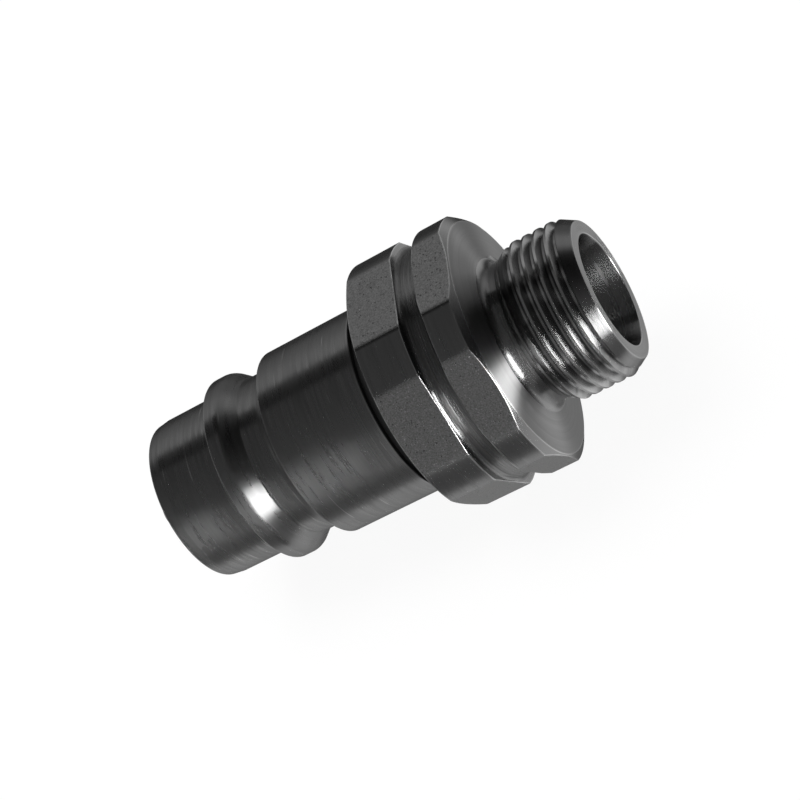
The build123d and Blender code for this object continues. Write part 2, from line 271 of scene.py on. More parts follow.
def rounded(corners, tight, closed=True, steps=5):
    """Points (x, r, wear) along an outline, with an arc at each corner and wear that fades beside it.

    A corner is its place along the axis and its radius, then its rounding if that isn't the tight one,
    then its wear if it has any.
    """
    touching, folded, fit, fade = 1e-9, 0.01, 0.98, 0.3
    corners = [(*corner, *(tight, 0.0)[len(corner) - 2:]) for corner in corners]
    following = corners[1:] + corners[:1]
    gaps = [hypot(after[0] - here[0], after[1] - here[1]) for here, after in zip(corners, following)]
    total = len(corners)
    reach, turns = [], []
    for i, (x, r, rounding, _) in enumerate(corners):
        before, after = corners[i - 1], following[i]
        a = Vector((before[0] - x, before[1] - r))
        b = Vector((after[0] - x, after[1] - r))
        end = not closed and i in (0, total - 1)
        if end or rounding == 0 or min(a.length, b.length) < touching:
            reach.append(0.0)
            turns.append(None)
            continue
        half = a.angle(b) / 2
        reach.append(rounding / tan(half) if half > folded else 0.0)
        turns.append((a.normalized(), b.normalized(), half))
    cuts = list(reach)
    for i in range(total if closed else total - 1):
        j = (i + 1) % total
        wanted = reach[i] + reach[j]
        if wanted > gaps[i]:
            cuts[i] = min(cuts[i], reach[i] * gaps[i] / wanted * fit)
            cuts[j] = min(cuts[j], reach[j] * gaps[i] / wanted * fit)
    points = []
    for i, ((x, r, rounding, wear), turn, cut) in enumerate(zip(corners, turns, cuts)):
        if rounding == 0:
            points.append((x, r, wear))
            continue
        if turn is None or cut < touching:
            points += [(x, r, 0.0)] * (steps + 3 if wear else steps + 1)
            continue
        a, b, half = turn
        free_before = max(gaps[i - 1] - cut - cuts[i - 1], 0.0)
        free_after = max(gaps[i] - cut - cuts[(i + 1) % total], 0.0)
        if wear:
            out = cut + min(WEAR_WIDTH, free_before * fade)
            points.append((x + a.x * out, r + a.y * out, 0.0))
        corner = Vector((x, r))
        centre = corner + (a + b).normalized() * (cut * tan(half) / sin(half))
        start = corner + a * cut - centre
        turned = start.angle_signed(corner + b * cut - centre)
        for k in range(steps + 1):
            c, s = cos(-turned * k / steps), sin(-turned * k / steps)
            arm = Vector((start.x * c - start.y * s, start.x * s + start.y * c))
            points.append((centre.x + arm.x, centre.y + arm.y, wear))
        if wear:
            out = cut + min(WEAR_WIDTH, free_after * fade)
            points.append((x + b.x * out, r + b.y * out, 0.0))
    return points


def face_outward(mesh, merge=False):
    """Turns all faces outward, where wanted after merging the points that touch."""
    shape = bmesh.new()
    shape.from_mesh(mesh)
    if merge:
        bmesh.ops.remove_doubles(shape, verts=shape.verts, dist=MERGE)
        bmesh.ops.dissolve_degenerate(shape, dist=MERGE / 2, edges=shape.edges)
    bmesh.ops.recalc_face_normals(shape, faces=shape.faces)
    shape.to_mesh(mesh)
    shape.free()


def around_axis(x, r, turn):
    """The point at a radius and an angle round the axis."""
    return x, r * cos(turn), r * sin(turn)


def ring_mesh(name, angles, outlines, closed=True):
    """A mesh swept round the axis, from one outline of (x, r, wear) points for each angle."""
    mesh = bpy.data.meshes.new(name)
    rows, columns = len(outlines[0]), len(outlines)
    vertices, faces = [], []
    for turn, outline in zip(angles, outlines):
        vertices += [around_axis(x, r, turn) for x, r, _ in outline]
    for i in range(columns):
        j = (i + 1) % columns
        for k in range(rows if closed else rows - 1):
            m = (k + 1) % rows
            faces.append((i * rows + k, j * rows + k, j * rows + m, i * rows + m))
    mesh.from_pydata(vertices, [], faces)
    worn = mesh.attributes.new("worn", "FLOAT", "POINT")
    worn.data.foreach_set("value", [wear for outline in outlines for _, _, wear in outline])
    face_outward(mesh, merge=True)
    return mesh


def lathe(name, outline, columns, closed=True):
    """A turned piece: one outline swept round the axis in equal steps."""
    angles = [2 * pi * i / columns for i in range(columns)]
    return ring_mesh(name, angles, [outline] * columns, closed)


def tube_mesh(name, rings):
    """A closed tube through rings of points, with a cap on both ends."""
    around, last = len(rings[0]), len(rings) - 1
    faces = []
    for i in range(last):
        here, there = i * around, (i + 1) * around
        for k in range(around):
            m = (k + 1) % around
            faces.append((here + k, here + m, there + m, there + k))
    faces.append(tuple(range(around))[::-1])
    faces.append(tuple(last * around + k for k in range(around)))
    mesh = bpy.data.meshes.new(name)
    mesh.from_pydata([point for ring in rings for point in ring], [], faces)
    face_outward(mesh)
    return mesh


def show(name, data):
    """A new object in the scene."""
    shown = bpy.data.objects.new(name, data)
    bpy.context.scene.collection.objects.link(shown)
    return shown


def add_piece(mesh, body, node, materials):
    """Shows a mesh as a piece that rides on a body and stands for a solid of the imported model."""
    piece = show(mesh.name, mesh)
    for material in materials:
        mesh.materials.append(material)
    mesh.shade_smooth()
    mesh.set_sharp_from_angle(angle=radians(35))
    even = piece.modifiers.new("Even shading", "WEIGHTED_NORMAL")
    even.keep_sharp = True
    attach(piece, body)
    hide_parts(node)
    return piece


# Node trees


def feed(tree, inputs, values):
    """Links inputs to sockets, or sets them to plain values."""
    for key, value in values.items():
        if isinstance(value, bpy.types.NodeSocket):
            tree.links.new(value, inputs[key])
        elif value is not None:
            inputs[key].default_value = value


def add_node(tree, kind, values=None, **settings):
    """A node of the given kind, with its settings and its inputs."""
    node = tree.nodes.new(kind)
    for key, value in settings.items():
        setattr(node, key, value)
    feed(tree, node.inputs, values or {})
    return node


def math_node(tree, operation, first, second=None, clamp=False):
    """The result of a calculation on sockets or numbers."""
    values = {0: first, 1: second}
    return add_node(tree, "ShaderNodeMath", values, operation=operation, use_clamp=clamp).outputs[0]


def times(tree, first, second):
    """The product of two sockets or numbers."""
    return math_node(tree, "MULTIPLY", first, second)


def plus(tree, first, second):
    """The sum of two sockets or numbers."""
    return math_node(tree, "ADD", first, second)


def minus(tree, first, second):
    """The difference of two sockets or numbers."""
    return math_node(tree, "SUBTRACT", first, second)


def vector_node(tree, operation, first, second=None):
    """The results of a calculation on vectors."""
    return add_node(tree, "ShaderNodeVectorMath", {0: first, 1: second}, operation=operation).outputs


def ramp(tree, factor, stops):
    """Greys over a factor, from (position, grey) stops."""
    node = add_node(tree, "ShaderNodeValToRGB", {"Fac": factor})
    elements = node.color_ramp.elements
    while len(elements) < len(stops):
        elements.new(0.5)
    for element, (position, grey) in zip(elements, stops):
        element.position = position
        element.color = (grey, grey, grey, 1.0)
    return node.outputs["Color"]


def mix_colour(tree, factor, first, second):
    """Two colours, blended by a factor."""
    values = {MIX_FACTOR: factor, MIX_FIRST: first, MIX_SECOND: second}
    return add_node(tree, "ShaderNodeMix", values, data_type="RGBA").outputs[MIX_RESULT]


def shaded(colour, level):
    """A colour made lighter or darker."""
    return (*(c * level for c in colour[:3]), 1.0)


def two_tone(tree, factor, colour, light, dark):
    """A colour that varies between a lighter and a darker tone."""
    return mix_colour(tree, factor, shaded(colour, light), shaded(colour, dark))


def soft_step(tree, value, low, high, top=1.0):
    """Rises smoothly from nothing at the low value to the top at the high one."""
    values = {"Value": value, "From Min": low, "From Max": high, "To Max": top}
    return add_node(tree, "ShaderNodeMapRange", values, interpolation_type="SMOOTHSTEP").outputs[0]


def noise(tree, at, **values):
    """Cloudy noise over a place."""
    values["Vector"] = at
    return add_node(tree, "ShaderNodeTexNoise", values, noise_dimensions="3D").outputs["Fac"]


def object_place(tree):
    """The place on a piece."""
    return add_node(tree, "ShaderNodeTexCoord").outputs["Object"]


def axis_places(tree):
    """The place along the axis and the two across it."""
    return add_node(tree, "ShaderNodeSeparateXYZ", {0: object_place(tree)}).outputs


def axis_distance(tree, y, z):
    """How far a place lies from the axis."""
    return math_node(tree, "SQRT", plus(tree, times(tree, y, y), times(tree, z, z)))


def stretched(tree, along, y, z, scale):
    """A place for noise that runs out round the axis: only the two places across it are scaled."""
    values = {0: along, 1: times(tree, y, scale), 2: times(tree, z, scale)}
    return add_node(tree, "ShaderNodeCombineXYZ", values).outputs[0]


def new_group(name, inputs, outputs):
    """An empty node group, with the values that it is given and the sockets for its results."""
    group = bpy.data.node_groups.new(name, "ShaderNodeTree")
    for label, default in inputs.items():
        socket = group.interface.new_socket(label, in_out="INPUT", socket_type="NodeSocketFloat")
        socket.default_value = default
    for label in outputs:
        group.interface.new_socket(label, in_out="OUTPUT", socket_type="NodeSocketFloat")
    return group, add_node(group, "NodeGroupInput").outputs, add_node(group, "NodeGroupOutput").inputs


def use_group(tree, build, **values):
    """The results of a node group with its own values, which is built when it is first used."""
    name = build.__name__.replace("_", " ").capitalize()
    group = bpy.data.node_groups.get(name) or build(name)
    return add_node(tree, "ShaderNodeGroup", values, node_tree=group).outputs


def turning_marks(name):
    """Fine rings round the axis, as a turning tool leaves them, with slow changes round each ring."""
    given_values = {"Rings": 5000.0, "Drift": 60.0, "Detail": 3.0}
    group, given, result = new_group(name, given_values, ("Height", "Mask"))
    facing = 0.55
    x, y, z = axis_places(group)
    across = plus(group, x, times(group, axis_distance(group, y, z), facing))
    at = stretched(group, times(group, across, given["Rings"]), y, z, given["Drift"])
    height = noise(group, at, Scale=1.0, Roughness=0.6, Detail=given["Detail"])
    mask = ramp(group, height, ((0.3, 0.0), (0.7, 1.0)))
    feed(group, result, {"Height": height, "Mask": mask})
    return group


def fine_scratches(name):
    """A few thin scratches that follow the turning, in loose clusters."""
    given_values = {"Across": 5200.0, "Along": 130.0, "Amount": 0.5}
    group, given, result = new_group(name, given_values, ("Mask",))
    x, y, z = axis_places(group)
    lines = noise(group, stretched(group, times(group, x, given["Across"]), y, z, given["Along"]),
                  Scale=1.0, Detail=1.0)
    clusters = noise(group, object_place(group), Scale=210.0, Detail=2.0)
    thin = ramp(group, lines, ((0.69, 0.0), (0.75, 1.0)))
    patch = ramp(group, clusters, ((0.5, 0.0), (0.62, 1.0)))
    feed(group, result, {"Mask": times(group, times(group, thin, patch), given["Amount"])})
    return group


def pits_and_specks(name):
    """Small dents scattered over a surface, each a little different in size."""
    given_values = {"Scale": 1700.0, "Size": 0.2, "Share": 0.5}
    group, given, result = new_group(name, given_values, ("Mask",))
    sharpness = 12.0
    values = {"Vector": object_place(group), "Scale": given["Scale"]}
    cells = add_node(group, "ShaderNodeTexVoronoi", values, voronoi_dimensions="3D", feature="F1").outputs
    lot, size, _ = add_node(group, "ShaderNodeSeparateColor", {0: cells["Color"]}).outputs
    near = minus(group, times(group, given["Size"], size), cells["Distance"])
    dent = math_node(group, "MULTIPLY", near, sharpness, clamp=True)
    chosen = math_node(group, "LESS_THAN", lot, given["Share"])
    feed(group, result, {"Mask": times(group, dent, chosen)})
    return group


def satin_grain(name):
    """Fine grain of a plated rolled surface, with slow changes of tone."""
    group, given, result = new_group(name, {"Grain": 9000.0, "Clouds": 260.0}, ("Height", "Cloud"))
    at = object_place(group)
    height = noise(group, at, Detail=2.0, Scale=given["Grain"])
    cloud = noise(group, at, Detail=4.0, Scale=given["Clouds"])
    feed(group, result, {"Height": height, "Cloud": cloud})
    return group


# Materials


def new_material(name):
    """A material with its node tree and its shader."""
    material = bpy.data.materials.new(name)
    material.use_nodes = True
    tree = material.node_tree
    return material, tree, tree.nodes["Principled BSDF"].inputs


def worn_edge(tree, cloud, stops):
    """How far the plating of an edge is worn through, in patches."""
    edge = add_node(tree, "ShaderNodeAttribute", attribute_type="GEOMETRY", attribute_name="worn")
    return times(tree, edge.outputs["Fac"], ramp(tree, cloud, stops))


def uneven(tree, roughness, mask, spread):
    """A roughness that a mask raises and lowers."""
    return plus(tree, roughness - spread / 2, times(tree, mask, spread))


def bump(tree, height, distance):
    """The normal of a surface with the given height."""
    values = {"Strength": 1.0, "Distance": distance, "Height": height}
    return add_node(tree, "ShaderNodeBump", values).outputs["Normal"]


def turned_metal(name, finish, colour, roughness, rings, depth, brushed=0.95, scratches=0.6, drift=60.0,
                 streaky=0.18, slope=0.0):
    """Plated steel with turning marks, scratches and worn edges; a coarse cut's facets lean by a slope."""
    if name in bpy.data.materials:
        return bpy.data.materials[name]
    material, tree, shader = new_material(name)
    rings *= finish.ring_scale
    marks = use_group(tree, turning_marks, Rings=rings, Drift=drift)
    broad = use_group(tree, turning_marks, Rings=rings * 0.13, Drift=drift * 0.5, Detail=2.0)
    streaks = use_group(tree, turning_marks, Rings=rings * 0.42, Drift=drift * 2.0, Detail=4.0)
    lines = use_group(tree, fine_scratches, Amount=scratches, Across=4200.0)["Mask"]
    cloud = use_group(tree, satin_grain, Grain=5200.0, Clouds=190.0)["Cloud"]
    tone = plus(tree, times(tree, plus(tree, marks["Mask"], streaks["Mask"]), 0.2), times(tree, cloud, 0.16))
    shade = two_tone(tree, tone, colour, light=1.12, dark=0.68)
    wear = worn_edge(tree, cloud, ((0.35, 0.25), (0.6, 1.0)))
    bright = math_node(tree, "MAXIMUM", wear, lines, clamp=True)
    height = plus(tree, broad["Height"], plus(tree, marks["Height"], streaks["Height"]))
    height = minus(tree, height, lines)
    if slope:
        _, y, z = axis_places(tree)
        height = minus(tree, height, times(tree, axis_distance(tree, y, z), slope / depth))
    tangent = add_node(tree, "ShaderNodeTangent", direction_type="RADIAL", axis="X")
    feed(tree, shader, {
        "Base Color": mix_colour(tree, bright, shade, finish.worn),
        "Roughness": uneven(tree, roughness, streaks["Mask"], streaky),
        "Metallic": 1.0,
        "Anisotropic": brushed,
        "Anisotropic Rotation": 0.25,
        "Tangent": tangent.outputs[0],
        "Normal": bump(tree, height, depth),
    })
    return material


def flat_metal(name, finish):
    """Plated rolled steel of the wrench flats: satin, with scattered small dents whose hollows are painted
    dark as shade, and small lighter specks.
    """
    if name in bpy.data.materials:
        return bpy.data.materials[name]
    material, tree, shader = new_material(name)
    grain = use_group(tree, satin_grain, Grain=6500.0, Clouds=1400.0)
    pits = use_group(tree, pits_and_specks, Scale=2800.0, Size=0.38, Share=0.5)["Mask"]
    specks = use_group(tree, pits_and_specks, Scale=4300.0, Size=0.45, Share=0.4)["Mask"]
    sand = ramp(tree, grain["Height"], ((0.34, 0.0), (0.66, 1.0)))
    shade = two_tone(tree, sand, finish.flats, light=1.25, dark=0.75)
    wear = worn_edge(tree, grain["Cloud"], ((0.42, 0.1), (0.55, 1.0)))
    shade = mix_colour(tree, wear, shade, finish.worn)
    # Specks are painted a little lighter in the worn edge's grey; pits are painted darker, as the shade that
    # falls inside each dent.
    shade = mix_colour(tree, times(tree, specks, 0.35), shade, finish.worn)
    shade = mix_colour(tree, times(tree, pits, 0.6), shade, shaded(finish.flats, 0.2))
    hollow = minus(tree, pits, times(tree, specks, 0.5))
    height = minus(tree, times(tree, grain["Height"], 0.5), hollow)
    feed(tree, shader, {
        "Base Color": shade,
        "Roughness": uneven(tree, finish.flat_roughness, grain["Cloud"], 0.1),
        "Metallic": 1.0,
        "Normal": bump(tree, height, 0.024 * MM),
    })
    return material


def soft_material(name, colour, roughness, metallic=0.0):
    """Rubber, plastic, spring steel, or the spigot's near-black painted shade, each with a fine grain."""
    if name in bpy.data.materials:
        return bpy.data.materials[name]
    material, tree, shader = new_material(name)
    grain = use_group(tree, satin_grain, Grain=4000.0, Clouds=300.0)
    feed(tree, shader, {
        "Base Color": two_tone(tree, grain["Cloud"], colour, light=1.25, dark=0.75),
        "Roughness": uneven(tree, roughness, grain["Cloud"], 0.1),
        "Metallic": metallic,
        "Normal": bump(tree, grain["Height"], 0.01 * MM),
    })
    return material


def nose_steel(finish):
    """The brushed dark steel of the nose body."""
    return turned_metal("Turned nose steel", finish, finish.steel, roughness=0.3, rings=1.0,
                        depth=0.0035 * MM)


def adapter_steel(finish):
    """The smoother turned steel of the adapter."""
    return turned_metal("Turned adapter steel", finish, finish.steel, roughness=0.24, rings=0.8,
                        depth=0.006 * MM, scratches=0.4, drift=40.0, streaky=0.12)


def shoulder_steel(finish):
    """The faced shoulder, whose coarse tool rings lean outward."""
    return turned_metal("Faced shoulder steel", finish, finish.steel, roughness=0.36, rings=2.2,
                        depth=0.003 * MM, brushed=1.0, scratches=0.2, drift=25.0, streaky=0.06,
                        slope=tan(finish.ring_lean))


def groove_steel(finish):
    """The roughly cut groove between the hexagons."""
    return turned_metal("Coarse groove steel", finish, finish.steel, roughness=0.3, rings=0.7,
                        depth=0.17 * MM, brushed=1.0, scratches=0.2, drift=15.0)


def valve_steel(finish):
    """The bright turned steel of the valve."""
    return turned_metal("Valve steel", finish, finish.valve, roughness=0.24, rings=1.0, depth=0.003 * MM,
                        scratches=0.2)


def seal_rubber(finish):
    """The rubber of the poppet's seal and the O-ring."""
    return soft_material("Seal rubber", finish.rubber, 0.5)


# Pieces


class PieceOperator:
    """What the operators share: they undo, and read the coupling's settings from the scene"""

    bl_options = {"REGISTER", "UNDO"}


def nose_outline(s):
    """The turned body from its mouth over the nose, the collar and the spigot back into the bore."""
    flank_corner = s.collar_land + s.flank_round * tan(s.flank_angle / 2)
    flank_foot = flank_corner + (s.barrel_radius - s.groove_radius) / tan(s.flank_angle)
    floor = s.spigot_radius - s.seal_groove_depth
    groove_rear = s.seal_groove + s.seal_groove_width
    seat = s.face + s.mouth_length
    tight, blunt = 0.08 * MM, 0.3 * MM
    corners = [
        (s.face, s.mouth_radius + blunt, tight, 0.5),
        (s.face, s.radius - s.lead_drop, s.edge_round, 0.15),
        (s.face + s.lead, s.radius, blunt),
        (0.0, s.radius, s.edge_break),
        (0.0, s.barrel_radius, s.edge_break, 0.35),
        (flank_corner, s.barrel_radius, s.flank_round),
        (flank_foot, s.groove_radius, blunt),
        (s.groove_end, s.groove_radius, s.groove_root),
        (s.groove_end, s.barrel_radius, s.edge_break, 0.3),
        (s.barrel_end, s.barrel_radius, s.edge_break, 0.3),
        (s.barrel_end, s.spigot_radius),
        (s.seal_groove, s.spigot_radius),
        (s.seal_groove, floor),
        (groove_rear, floor),
        (groove_rear, s.spigot_radius),
        (s.spigot_end - s.spigot_break, s.spigot_radius),
        (s.spigot_end, s.spigot_radius - s.spigot_break),
        (s.spigot_end, s.chamber_radius),
        (seat + s.chamber_radius - s.mouth_radius, s.chamber_radius, blunt),
        (seat, s.mouth_radius),
        (s.face + blunt, s.mouth_radius, tight, 0.3),
    ]
    return rounded(corners, tight, steps=7)


class COUPLING_OT_nose_body(PieceOperator, bpy.types.Operator):
    """Turn the nose body with its collar, locking groove, barrel and spigot"""

    bl_idname = "coupling.nose_body"
    bl_label = "Nose Body"

    def execute(self, context):
        s = context.scene.coupling_nose
        mesh = lathe("nose_body_turned", nose_outline(s), columns=256)
        finish = context.scene.coupling_finish
        # Painted shade: the spigot's faces in the joint's gap are coloured near black, standing in for the
        # shade between barrel and adapter.
        gap_painted_shade = soft_material("Blackened spigot", finish.spigot, 0.55)
        add_piece(mesh, "shell", "nose_body", [nose_steel(finish), gap_painted_shade])
        skin = 0.1 * MM
        for face in mesh.polygons:
            x, y, z = face.center
            if x > s.barrel_end - HAIR and hypot(y, z) > s.chamber_radius + skin:
                face.material_index = 1
        return {"FINISHED"}


def hexagon_columns(s):
    """Angles round the axis, each with the hexagon's reach there."""
    half_flat = acos(s.flat_distance / s.corner_radius)
    columns = []
    for side in range(6):
        middle = pi / 6 + side * pi / 3
        for i in range(s.flat_columns):
            turn = -half_flat + 2 * half_flat * i / s.flat_columns
            columns.append((middle + turn, s.flat_distance / cos(turn)))
        for i in range(s.corner_columns):
            turn = half_flat + (pi / 3 - 2 * half_flat) * i / s.corner_columns
            columns.append((middle + turn, s.corner_radius))
    return columns


def hexagon_places(s):
    """Places along the axis: both sides of the cap groove, and the rear of the hexagons."""
    groove_front = s.front + s.front_hexagon
    groove_rear = groove_front + s.groove_width
    return groove_front, groove_rear, groove_rear + s.rear_hexagon


def adapter_outline(s, reach):
    """The adapter's outline where the hexagon reaches to the given radius."""
    tight, worn = 0.06 * MM, s.edge_round
    groove_front, groove_rear, hexagon_rear = hexagon_places(s)
    front_edge = s.corner_radius - s.front_bevel_depth
    rear_edge = s.corner_radius - s.rear_bevel_depth
    floor = s.flat_distance - s.groove_depth
    side_radius = s.corner_radius - s.side_bevel
    side_run = max(reach - side_radius, 0.0) * tan(s.rear_bevel)
    shoulder = hexagon_rear + s.dish
    relief_end = shoulder + s.relief_length
    thread_start = relief_end + (s.stud_radius - s.relief_radius) / tan(s.relief_exit)
    lead = (s.stud_radius - s.lead_radius) / tan(s.lead_angle)
    cone = (s.cone_mouth - s.tube_radius) / tan(s.cone_angle)
    corners = [
        (s.front, s.socket_radius + s.socket_entry),
        (s.front, front_edge, tight, 0.3),
        (s.front + (reach - front_edge) * tan(s.front_bevel), reach, worn, 0.7),
        (groove_front, reach, worn, 1.0),
        (groove_front, floor, s.groove_round),
        (groove_rear, floor, 0.3 * MM),
        (groove_rear, min(side_radius, reach)),
        (groove_rear + side_run, reach, worn, 0.5),
        (hexagon_rear - (reach - rear_edge) * tan(s.rear_bevel), reach, worn, 0.9),
        (hexagon_rear, rear_edge, 0.12 * MM, 0.6),
        (shoulder + 0.08 * MM, s.relief_radius, s.relief_round),
        (relief_end, s.relief_radius, 0.15 * MM),
        (thread_start, s.stud_radius, 0.08 * MM),
        (s.stud_end - lead, s.stud_radius, 0.12 * MM, 0.4),
        (s.stud_end, s.lead_radius, 0.12 * MM, 0.3),
        (s.stud_end, s.cone_mouth, 0.08 * MM, 0.5),
        (s.stud_end - cone, s.tube_radius, 0.1 * MM),
        (s.tube_stop, s.tube_radius, 0.15 * MM),
        (s.tube_stop, s.flow_radius, 0.1 * MM),
        (s.socket_floor + s.chamber_radius - s.flow_radius, s.flow_radius, 0.2 * MM),
        (s.socket_floor, s.chamber_radius),
        (s.socket_floor, s.socket_radius),
        (s.front + s.socket_entry, s.socket_radius),
    ]
    return rounded(corners, tight)


def thread_cutter(s):
    """A closed screw-shaped body that cuts a right-hand thread into the stud."""
    steps, lip, stand = 96, 0.05 * MM, 0.5 * MM
    start = hexagon_places(s)[2] + s.dish + s.relief_length - s.thread_run - s.thread_pitch / 4
    turns = ceil((s.stud_end + 2 * s.thread_pitch - start) / s.thread_pitch)
    root, crest = s.stud_radius - s.thread_depth, s.stud_radius
    foot = s.thread_pitch * s.thread_root / 2
    mouth = foot + s.thread_depth * tan(s.thread_flank)
    section = [
        (-foot, root), (foot, root), (mouth - lip / 2, crest - lip), (mouth + lip / 2, crest + lip / 2),
        (mouth + lip / 2, crest + stand), (-mouth - lip / 2, crest + stand),
        (-mouth - lip / 2, crest + lip / 2), (-mouth + lip / 2, crest - lip),
    ]
    rings = []
    for i in range(turns * steps + 1):
        centre = start + s.thread_pitch * i / steps
        rings.append([around_axis(centre + x, r, 2 * pi * i / steps) for x, r in section])
    return tube_mesh("thread_cutter", rings)


def cut_away(mesh, tool):
    """The mesh that is left when the tool's body is taken from it."""
    blank, cutter = show("blank", mesh), show("cutter", tool)
    cut = blank.modifiers.new("Cut", "BOOLEAN")
    cut.operation = "DIFFERENCE"
    cut.solver = "EXACT"
    cut.object = cutter
    bpy.context.view_layer.update()
    seen = blank.evaluated_get(bpy.context.evaluated_depsgraph_get())
    result = bpy.data.meshes.new_from_object(seen)
    bpy.data.objects.remove(blank)
    bpy.data.objects.remove(cutter)
    return result


def choose_materials(s, mesh):
    """Gives the flats, the cap groove and the shoulder their own steel."""
    flat, groove, shoulder = 1, 2, 3
    groove_front, groove_rear, hexagon_rear = hexagon_places(s)
    for face in mesh.polygons:
        x, y, z = face.center
        radius, turn = hypot(y, z), atan2(z, y) - pi / 6
        outward = radius * cos(turn - round(turn / (pi / 3)) * pi / 3)
        on_flat = abs(outward - s.flat_distance) < HAIR and abs(face.normal.x) < 0.05
        if on_flat and x < hexagon_rear:
            face.material_index = flat
        elif groove_front < x < groove_rear and radius > s.socket_radius + MM:
            face.material_index = groove
        elif x > hexagon_rear - HAIR and face.normal.x > 0.9 and radius > s.stud_radius:
            face.material_index = shoulder


def wear_crests(s, mesh):
    """Wears the crests of the thread."""
    crest_wear, crest_depth = 0.6, 0.06 * MM
    thread_start = hexagon_places(s)[2] + s.dish + s.relief_length
    for vertex, worn in zip(mesh.vertices, mesh.attributes["worn"].data):
        x, y, z = vertex.co
        if x > thread_start and hypot(y, z) > s.stud_radius - crest_depth:
            worn.value = crest_wear


class COUPLING_OT_hexagon_adapter(PieceOperator, bpy.types.Operator):
    """Mill the double hexagon and cut the threaded stud with its sealing cone"""

    bl_idname = "coupling.hexagon_adapter"
    bl_label = "Hexagon Adapter"

    def execute(self, context):
        s = context.scene.coupling_adapter
        columns = hexagon_columns(s)
        outlines = [adapter_outline(s, reach) for _, reach in columns]
        blank = ring_mesh("adapter_blank", [turn for turn, _ in columns], outlines)
        mesh = cut_away(blank, thread_cutter(s))
        mesh.name = "adapter_milled"
        if len(mesh.polygons) < len(columns):
            raise RuntimeError("The thread could not be cut into the stud.")
        finish = context.scene.coupling_finish
        add_piece(mesh, "shell", "hex_adapter",
                  [adapter_steel(finish), flat_metal("Hexagon flat steel", finish),
                   groove_steel(finish), shoulder_steel(finish)])
        choose_materials(s, mesh)
        wear_crests(s, mesh)
        return {"FINISHED"}

def poppet_outline(s):
    """The poppet from its tip over the seal's groove, the flange and the shank to the stem."""
    tip, end = POPPET_LOW.x, POPPET_HIGH.x
    flange_radius = POPPET_HIGH.z
    floor = s.land_radius - s.seal_depth
    tight, blunt = 0.06 * MM, 0.3 * MM
    pilot_end = s.flange_rear + s.pilot_length
    corners = [
        (tip, 0.0, 0.0),
        (tip, s.tip_radius, s.tip_round, 0.3),
        (SEAL_LOW.x - s.land_length, s.land_radius, 0.1 * MM),
        (SEAL_LOW.x, s.land_radius, tight, 0.2),
        (SEAL_LOW.x, floor),
        (SEAL_HIGH.x, floor),
        (SEAL_HIGH.x, flange_radius - blunt),
        (SEAL_HIGH.x + blunt, flange_radius),
        (s.flange_rear, flange_radius),
        (s.flange_rear, s.pilot_radius),
        (pilot_end, s.pilot_radius),
        (pilot_end + s.pilot_radius - s.shank_radius, s.shank_radius),
        (s.shank_end, s.shank_radius),
        (s.shank_end, s.stem_radius),
        (end - s.stem_break, s.stem_radius),
        (end, s.stem_radius - s.stem_break),
        (end, 0.0, 0.0),
    ]
    return rounded(corners, tight, closed=False)


def seal_outline(s):
    """The ring in the poppet's head, bevelled where it meets the seat."""
    rim, round_edge = POPPET_HIGH.z, 0.15 * MM
    floor = s.land_radius - s.seal_depth
    corners = [
        (SEAL_LOW.x, floor),
        (SEAL_LOW.x, s.seal_front_radius),
        (SEAL_LOW.x + rim - s.seal_front_radius, rim, round_edge),
        (SEAL_HIGH.x, rim, round_edge),
        (SEAL_HIGH.x, floor),
    ]
    return rounded(corners, 0.06 * MM)


def spring_mesh(s):
    """The spring, wound with a closed coil at each end that is ground flat."""
    steps, around, closed_gap, ground = 48, 16, 1.04, 0.35
    closed_pitch = 2 * s.wire_radius * closed_gap
    front = SPRING_LOW.x + ground * s.wire_radius
    rear = SPRING_HIGH.x - ground * s.wire_radius
    open_run = rear - front - 2 * closed_pitch
    open_turns = round(open_run / s.coil_pitch)
    rings = []
    for i in range((open_turns + 2) * steps + 1):
        t = i / steps
        if t <= 1:
            x = front + closed_pitch * t
        elif t >= open_turns + 1:
            x = rear - closed_pitch * (open_turns + 2 - t)
        else:
            x = front + closed_pitch + open_run * (t - 1) / open_turns
        ring = []
        for k in range(around):
            swing = 2 * pi * k / around
            along = min(max(x + s.wire_radius * sin(swing), SPRING_LOW.x), SPRING_HIGH.x)
            ring.append(around_axis(along, s.coil_radius + s.wire_radius * cos(swing), 2 * pi * t))
        rings.append(ring)
    return tube_mesh("spring_wound", rings)


class COUPLING_OT_valve(PieceOperator, bpy.types.Operator):
    """Turn the valve poppet, mould its seal and wind its spring"""

    bl_idname = "coupling.valve"
    bl_label = "Valve Poppet, Seal and Spring"

    def execute(self, context):
        s = context.scene.coupling_valve
        finish = context.scene.coupling_finish
        mesh = lathe("poppet_turned", poppet_outline(s), columns=128, closed=False)
        add_piece(mesh, "valve", "valve_poppet", [valve_steel(finish)])
        mesh = lathe("poppet_seal_moulded", seal_outline(s), columns=128)
        add_piece(mesh, "valve", "poppet_seal", [seal_rubber(finish)])
        wire = soft_material("Spring wire", finish.wire, 0.3, metallic=1.0)
        spring = add_piece(spring_mesh(s), "shell", "valve_spring", [wire])
        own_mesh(spring)
        return {"FINISHED"}


class COUPLING_OT_hidden_pieces(PieceOperator, bpy.types.Operator):
    """Finish the guide and the rings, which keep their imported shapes"""

    bl_idname = "coupling.hidden_pieces"
    bl_label = "Guide and Rings"

    def execute(self, context):
        finish = context.scene.coupling_finish
        looks = {
            "valve_guide": valve_steel(finish),
            "joint_o_ring": seal_rubber(finish),
            "joint_backup_ring": soft_material("Backup ring plastic", finish.plastic, 0.45),
        }
        for name, material in looks.items():
            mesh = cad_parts[name].data
            mesh.materials.clear()
            mesh.materials.append(material)
        return {"FINISHED"}


# Studio panels: greys round the axis as (turn, level) stops, then where along the axis each band fades in

